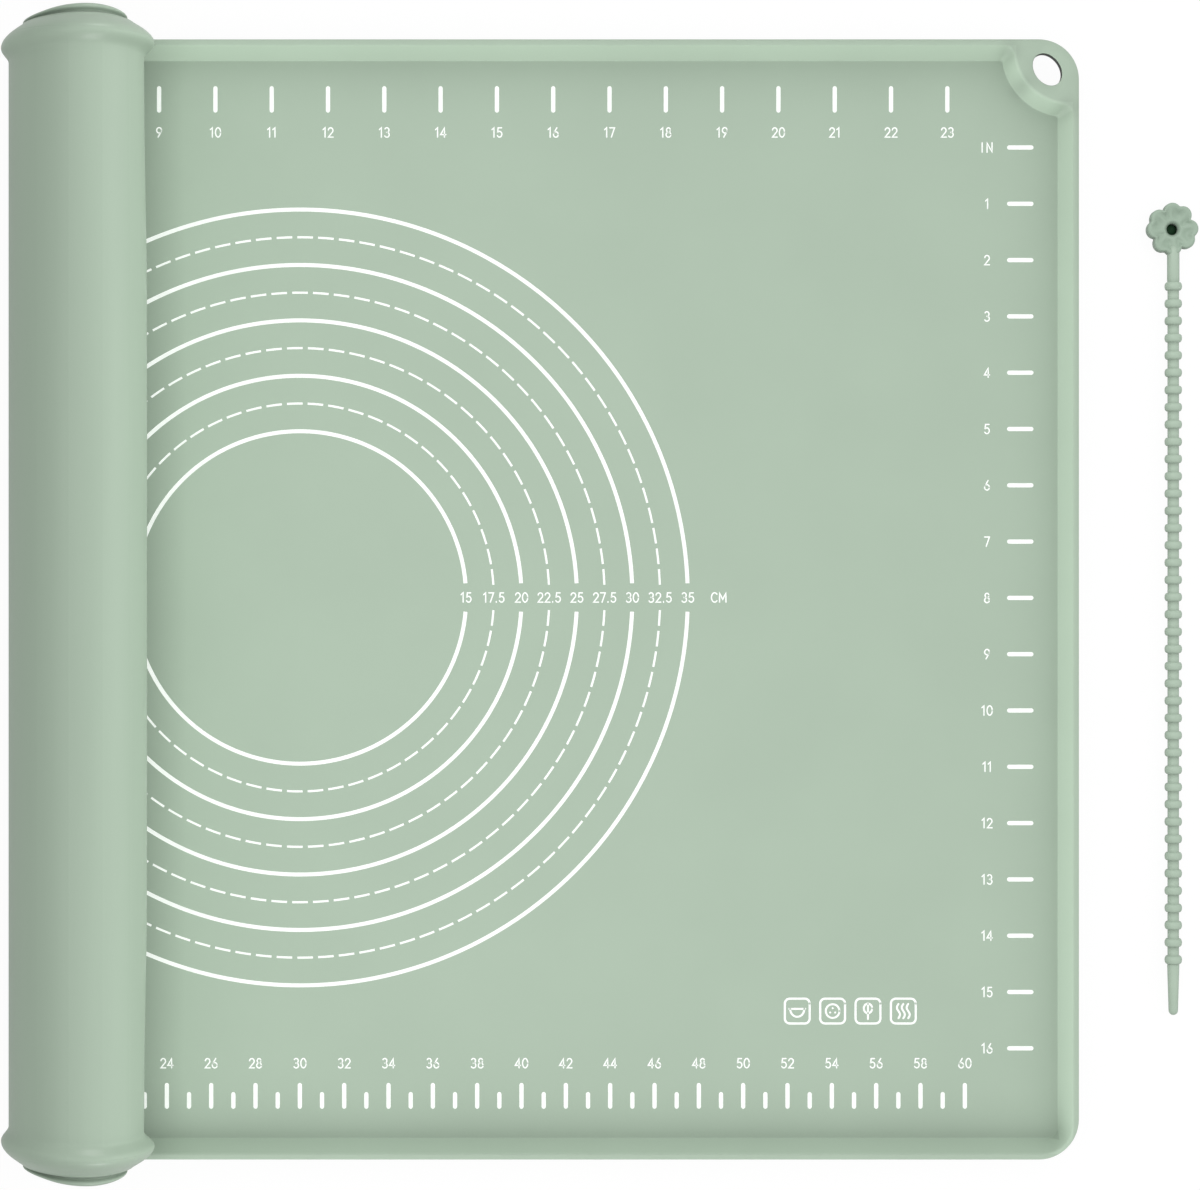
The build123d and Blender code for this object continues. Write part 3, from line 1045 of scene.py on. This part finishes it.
# Each sign is drawn in a box one unit high, with its strokes as lines of points
SIGNS = {
    "0": (0.6, [curve(0.3, 0.5, 0.26, 0.47, 0, 360, 22)]),
    "1": (0.4, [[(0.06, 0.78), (0.26, 0.97), (0.26, 0.03)]]),
    "2": (0.58, [curve(0.29, 0.7, 0.23, 0.26, 170, -35) + [(0.06, 0.03), (0.54, 0.03)]]),
    "3": (0.58, [curve(0.28, 0.74, 0.21, 0.23, 150, -90) + curve(0.28, 0.27, 0.24, 0.25, 90, -150)]),
    "4": (0.6, [[(0.42, 0.03), (0.42, 0.97), (0.04, 0.28), (0.56, 0.28)]]),
    "5": (0.58, [[(0.49, 0.96), (0.15, 0.96), (0.1, 0.55)] + curve(0.28, 0.32, 0.24, 0.29, 125, -150)]),
    "6": (0.6, [curve(0.3, 0.29, 0.24, 0.27, 0, 360, 22), [(0.09, 0.42), (0.4, 0.97)]]),
    "7": (0.56, [[(0.04, 0.96), (0.52, 0.96), (0.2, 0.03)]]),
    "8": (0.6, [curve(0.3, 0.74, 0.19, 0.22, 0, 360, 20), curve(0.3, 0.27, 0.24, 0.25, 0, 360, 20)]),
    "9": (0.6, [curve(0.3, 0.71, 0.24, 0.27, 0, 360, 22), [(0.51, 0.58), (0.2, 0.03)]]),
    ".": (0.22, [[(0.1, 0.02), (0.1, 0.08)]]),
    "I": (0.4, [[(0.12, 0.03), (0.12, 0.97)]]),
    "N": (0.68, [[(0.08, 0.03), (0.08, 0.97), (0.58, 0.03), (0.58, 0.97)]]),
    "C": (0.66, [curve(0.38, 0.5, 0.32, 0.47, 45, 315, 18)]),
    "M": (0.8, [[(0.08, 0.03), (0.08, 0.97), (0.4, 0.3), (0.72, 0.97), (0.72, 0.03)]]),
}

strokes = []


def stroke(points, width, capped=True):
    strokes.append(([(x, y + PRINT_OFFSET) for x, y in points], width, capped))


def write(text, x, y):
    """Writes text centred on (x, y)."""
    total = sum(SIGNS[sign][0] for sign in text) + DIGIT_GAP * (len(text) - 1)
    cursor = -total / 2
    for sign in text:
        advance, lines = SIGNS[sign]
        for line in lines:
            shifted = [
                (x + (cursor + px) * DIGIT_HEIGHT, y + (py - 0.5) * DIGIT_HEIGHT) for px, py in line
            ]
            stroke(shifted, DIGIT_STROKE)
        cursor += advance + DIGIT_GAP


def tick(x, y, dx, dy):
    """A round-ended tick from (x, y), this far along X or Y."""
    cap = THICK_STROKE / 2 / math.hypot(dx, dy)
    stroke([(x + dx * t, y + dy * t) for t in (cap, 1 - cap)], THICK_STROKE)


def scales():
    for inch in range(INCH_COUNT):
        x = (inch - MIDDLE_INCH) * INCH
        tick(x, HALF_WIDTH - TICK_INSET, 0, -INCH_TICK)
        write(str(inch), x, INCH_LABEL_Y)
    for centimetre in range(CM_COUNT):
        x = (centimetre - MIDDLE_CM) * CM
        tick(x, -HALF_WIDTH + TICK_INSET, 0, SHORT_TICK if centimetre % 2 else LONG_TICK)
        if centimetre % 2 == 0:
            write(str(centimetre), x, CM_LABEL_Y)
    for inch in range(END_COUNT_INCHES):
        y = END_FIRST_Y - inch * INCH
        tick(END_TICK_X, y, INCH_TICK, 0)
        write(str(inch) if inch else "IN", END_LABEL_X, y)


def circles():
    for diameter in SOLID_CIRCLES:
        radius = diameter * CM / 2
        half = math.degrees(math.asin(SOLID_OPENING / radius))
        count = int(2 * math.pi * radius / PIECE_STEP)
        ring = curve(0, 0, radius, radius, half, 360 - half, count)
        stroke(ring, CIRCLE_STROKE, capped=False)
        write(f"{diameter}", radius, 0)
    for diameter in DASHED_CIRCLES:
        radius = diameter * CM / 2
        half = math.degrees(math.asin(DASHED_OPENING / radius))
        run = math.radians(360 - 2 * half) * radius
        count = round((run - DASH) / DASH_PITCH)
        spacing = (run - DASH) / count
        for index in range(count + 1):
            start = half + math.degrees(index * spacing / radius)
            end = start + math.degrees(DASH / radius)
            dash = curve(0, 0, radius, radius, start, end, DASH_STEPS)
            stroke(dash, THIN_STROKE, capped=False)
        write(f"{diameter}", radius, 0)
    write("CM", UNIT_X, 0)


def rounded_square(cx, cy, half, radius):
    made = []
    for sx, sy, start in ((1, 1, 0), (-1, 1, 90), (-1, -1, 180), (1, -1, 270)):
        centre = (cx + sx * (half - radius), cy + sy * (half - radius))
        made += arc_points(centre, radius, start, start + 90, MOTIF_CORNER_STEPS)
    made.append(made[0])
    return made


def motif_lines():
    """The motifs in millimetres: a bowl, a biscuit, a whisk and rising steam."""
    bowl = [curve(0, 1, 3.2, 3.6, 180, 360, 12), [(-3.6, 1), (3.6, 1)]]
    crumbs = curve(0, 0, 1.3, 1.3, 90, 330, 2)
    biscuit = [curve(0, 0, 3.1, 3.1, 0, 360, 20)] + [[(x, y), (x + 0.05, y)] for x, y in crumbs]
    whisk = [curve(0, 1.2, 1.9, 2.2, 0, 360, 16), [(0, 3.2), (0, -3.6)]]
    shares = [step / 12 for step in range(13)]
    steam = [
        [(x + 0.7 * math.sin(t * 2 * math.pi), (t - 0.5) * 6.4) for t in shares]
        for x in (-2.2, 0, 2.2)
    ]
    return bowl, biscuit, whisk, steam


def kitchen_signs():
    for index, lines in enumerate(motif_lines()):
        x = MOTIF_X + index * MOTIF_PITCH
        stroke(rounded_square(x, MOTIF_Y, MOTIF_HALF, MOTIF_CORNER), THIN_STROKE)
        for line in lines:
            stroke([(x + px * MM, MOTIF_Y + py * MM) for px, py in line], MOTIF_STROKE)


scales()
circles()
kitchen_signs()


def stroke_quads(points, width, capped):
    """The stroke as short four-sided pieces, and round caps as fans of them."""
    half = width / 2
    fine = [Vector(points[0])]
    for a, b in zip(points, points[1:]):
        a, b = Vector(a), Vector(b)
        count = max(1, math.ceil((b - a).length / PIECE_STEP))
        fine += [a + (b - a) * (index + 1) / count for index in range(count)]
    sides = []
    for index, spot in enumerate(fine):
        before = fine[max(0, index - 1)]
        after = fine[min(len(fine) - 1, index + 1)]
        inward = (spot - before).normalized() if index else (after - spot).normalized()
        onward = (after - spot).normalized() if index < len(fine) - 1 else inward
        along = (inward + onward).normalized()
        across = Vector((-along.y, along.x))
        lean = max(MITRE_LIMIT, across.dot(Vector((-onward.y, onward.x))))
        sides.append((spot + across * half / lean, spot - across * half / lean))
    quads = []
    for (left, right), (next_left, next_right) in zip(sides, sides[1:]):
        quads.append((left, right, next_right, next_left))
    if capped:
        for spot, other in ((fine[0], fine[1]), (fine[-1], fine[-2])):
            outward = (spot - other).normalized()
            facing = math.degrees(math.atan2(outward.y, outward.x))
            cap = arc_points(spot, half, facing - 90, facing + 90, CAP_COUNT)
            rim = [Vector(point) for point in cap]
            for index in range(0, CAP_COUNT, 2):
                quads.append((spot, rim[index], rim[index + 1], rim[index + 2]))
    return quads


ON_FLAT = -1
BOX_FACES = ((4, 5, 6, 7), (3, 2, 1, 0), (0, 1, 5, 4), (1, 2, 6, 5), (2, 3, 7, 6), (3, 0, 4, 7))


def print_pieces():
    """The ink as one piece for each bend of the roll, and one for the flat part."""
    groups = {}
    for points, width, capped in strokes:
        for quad in stroke_quads(points, width, capped):
            run = LEFT_CUT - sum(corner.x for corner in quad) / 4
            group = ON_FLAT if run <= 0 else sum(1 for cut in CUTS if cut < run)
            groups.setdefault(group, []).append(quad)
    made = []
    for group in sorted(groups):
        verts = []
        faces = []
        flat_points = []
        for quad in groups[group]:
            start = len(verts)
            for rise in (SHEET - INK_RISE, SHEET + INK_RISE):
                for corner in quad:
                    run = LEFT_CUT - corner.x
                    run = min(0.0, run) if group == ON_FLAT else max(0.0, run)
                    verts.append(place(run, corner.y, rise))
                    flat_points.append((corner.x, corner.y))
            faces += shifted(BOX_FACES, start)
        name = "print_flat" if group == ON_FLAT else f"print_bend_{group + 1:02d}"
        piece = make_mesh(name, verts, faces, (ink_material,), flat_points, smooth=False)
        made.append((piece, group))
    return made


flat_pieces = [flat]
roll_pieces = [bend[0] for bend in BENDS]
for piece, group in print_pieces():
    if group == ON_FLAT:
        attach(piece, "flat_mat")
        flat_pieces.append(piece)
    else:
        body_a, body_b, span_start, span_end = BENDS[group][1:]
        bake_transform(piece)
        roll_pieces.append(piece)

# The table, the light and the camera

TABLE_HALF = 6.0
TABLE_Z = -0.6 * MM
TABLE_WHITE = 0.9
TABLE_ROUGHNESS = 0.9
# The camera sees this share of the table as plain white of this strength
WHITE_SHARE = 0.9
WHITE_GLOW = 1.03
# Painted shade in the tie's eye: how fast each colour is lost in its depth, green the slowest
EYE_POWERS = (3.4, 2.6, 3.2)
LIGHT_DISTANCE = 4.0
LIGHT_SIZE = 2.6
GLEAM_SIZE = 0.6
# The studio is darker on the left than on the right
WORLD_LEFT = 0.5
WORLD_RIGHT = 0.95
WHITE = (1, 1, 1, 1)
# The photograph looks straight down, as a new camera does, from about this height
CAMERA_HEIGHT = 1300 * MM
CAMERA_X = 135.4 * MM
CAMERA_Y = 2.0 * MM
FRAME_WIDTH = 541.8 * MM
SENSOR_WIDTH = 36
CLIP_START = 0.05
CLIP_END = 20


def stage():
    """The white table, with painted shade tinted green where it shows through the tie's eye."""
    material, tree, shader = nodes_of("pale_table")
    x, y = parted(tree, coordinates(tree, "Object"))
    in_eye = math_node(tree, "LESS_THAN", far_from(tree, x, y, (TIE_X, HEAD_Y)), FUNNEL_R)
    depth = add(tree, "ShaderNodeAmbientOcclusion", {"Distance": HEAD_THICKNESS * 2})
    lit = less(tree, in_eye, less(tree, depth.outputs["AO"]))
    losses = {axis: math_node(tree, "POWER", lit, power) for axis, power in zip("XYZ", EYE_POWERS)}
    eye_shade_tint = add(tree, "ShaderNodeCombineXYZ", losses).outputs[0]
    table = scaled(tree, eye_shade_tint, TABLE_WHITE)
    feed(tree, shader, {"Base Color": table, "Roughness": TABLE_ROUGHNESS})
    white = add(tree, "ShaderNodeEmission", {"Color": eye_shade_tint, "Strength": WHITE_GLOW})
    seen = math_node(tree, "MULTIPLY", camera_ray(tree), WHITE_SHARE)
    mix_out(tree, "Material Output", seen, shader.outputs["BSDF"], white.outputs["Emission"])
    corners = ((-1, -1), (1, -1), (1, 1), (-1, 1))
    points = [(sx * TABLE_HALF, sy * TABLE_HALF, TABLE_Z) for sx, sy in corners]
    floor = make_mesh("floor", points, [(0, 1, 2, 3)], (material,), smooth=False)
    return floor


def soft_light(name, direction, strength, only, size=LIGHT_SIZE, matte=True, gloss=True):
    """A round soft light from this direction, on the given objects alone."""
    data = bpy.data.lights.new(name, "AREA")
    data.shape = "DISK"
    data.size = size
    data.energy = strength * math.pi * LIGHT_DISTANCE**2
    lamp = bpy.data.objects.new(name, data)
    towards = Vector(direction).normalized()
    lamp.location = towards * LIGHT_DISTANCE + Vector((CAMERA_X, 0, 0))
    lamp.rotation_euler = (-towards).to_track_quat("-Z", "Y").to_euler()
    lamp.visible_diffuse = matte
    lamp.visible_glossy = gloss
    bpy.context.scene.collection.objects.link(lamp)
    lit = bpy.data.collections.new(name + "_receivers")
    for made in only:
        lit.objects.link(made)
    lamp.light_linking.receiver_collection = lit
    lamp.light_linking.blocker_collection = lit


def studio():
    """A white world for the camera, and a soft light from all round for the rest."""
    world = bpy.data.worlds.new("studio")
    bpy.context.scene.world = world
    world.use_nodes = True
    sky = world.node_tree
    sideways = parted(sky, coordinates(sky, "Generated"))[0]
    brightness = map_range(sky, sideways, WORLD_LEFT, WORLD_RIGHT, from_min=-1.0)
    around = sky.nodes["Background"]
    feed(sky, around, {"Color": WHITE, "Strength": brightness})
    seen = add(sky, "ShaderNodeBackground", {"Color": WHITE, "Strength": 1.0})
    ray = camera_ray(sky)
    mix_out(sky, "World Output", ray, around.outputs["Background"], seen.outputs["Background"])


stage_floor = stage()
rolled_up = roll_pieces + [end_node]
soft_light("right", (0.95, 0.15, 0.30), 1.6, [stage_floor] + rolled_up, gloss=False)
soft_light("roll_top", (-0.1, 0.0, 1.0), 0.6, rolled_up, gloss=False)
soft_light("fill", (-0.74, -0.60, 0.30), 2.0, flat_pieces)
soft_light("far_fill", (-0.2, 0.93, 0.3), 0.44, flat_pieces)
soft_light("top", (0.0, 0.0, 1.0), 0.5, flat_pieces)
soft_light("tie_top", (-0.35, 0.4, 0.8), 1.35, [tie])
for name, side in (("far_gleam", 1), ("near_gleam", -1)):
    soft_light(name, (0.33, side, 0.3), 1.1, roll_pieces, size=GLEAM_SIZE, matte=False)
studio()

camera_data = bpy.data.cameras.new("camera")
camera_data.sensor_width = SENSOR_WIDTH
camera_data.lens = SENSOR_WIDTH * CAMERA_HEIGHT / FRAME_WIDTH
camera_data.clip_start = CLIP_START
camera_data.clip_end = CLIP_END
camera = bpy.data.objects.new("camera", camera_data)
camera.location = (CAMERA_X, CAMERA_Y, CAMERA_HEIGHT)
bpy.context.scene.collection.objects.link(camera)
bpy.context.scene.camera = camera
bpy.context.scene.view_settings.view_transform = "Standard"
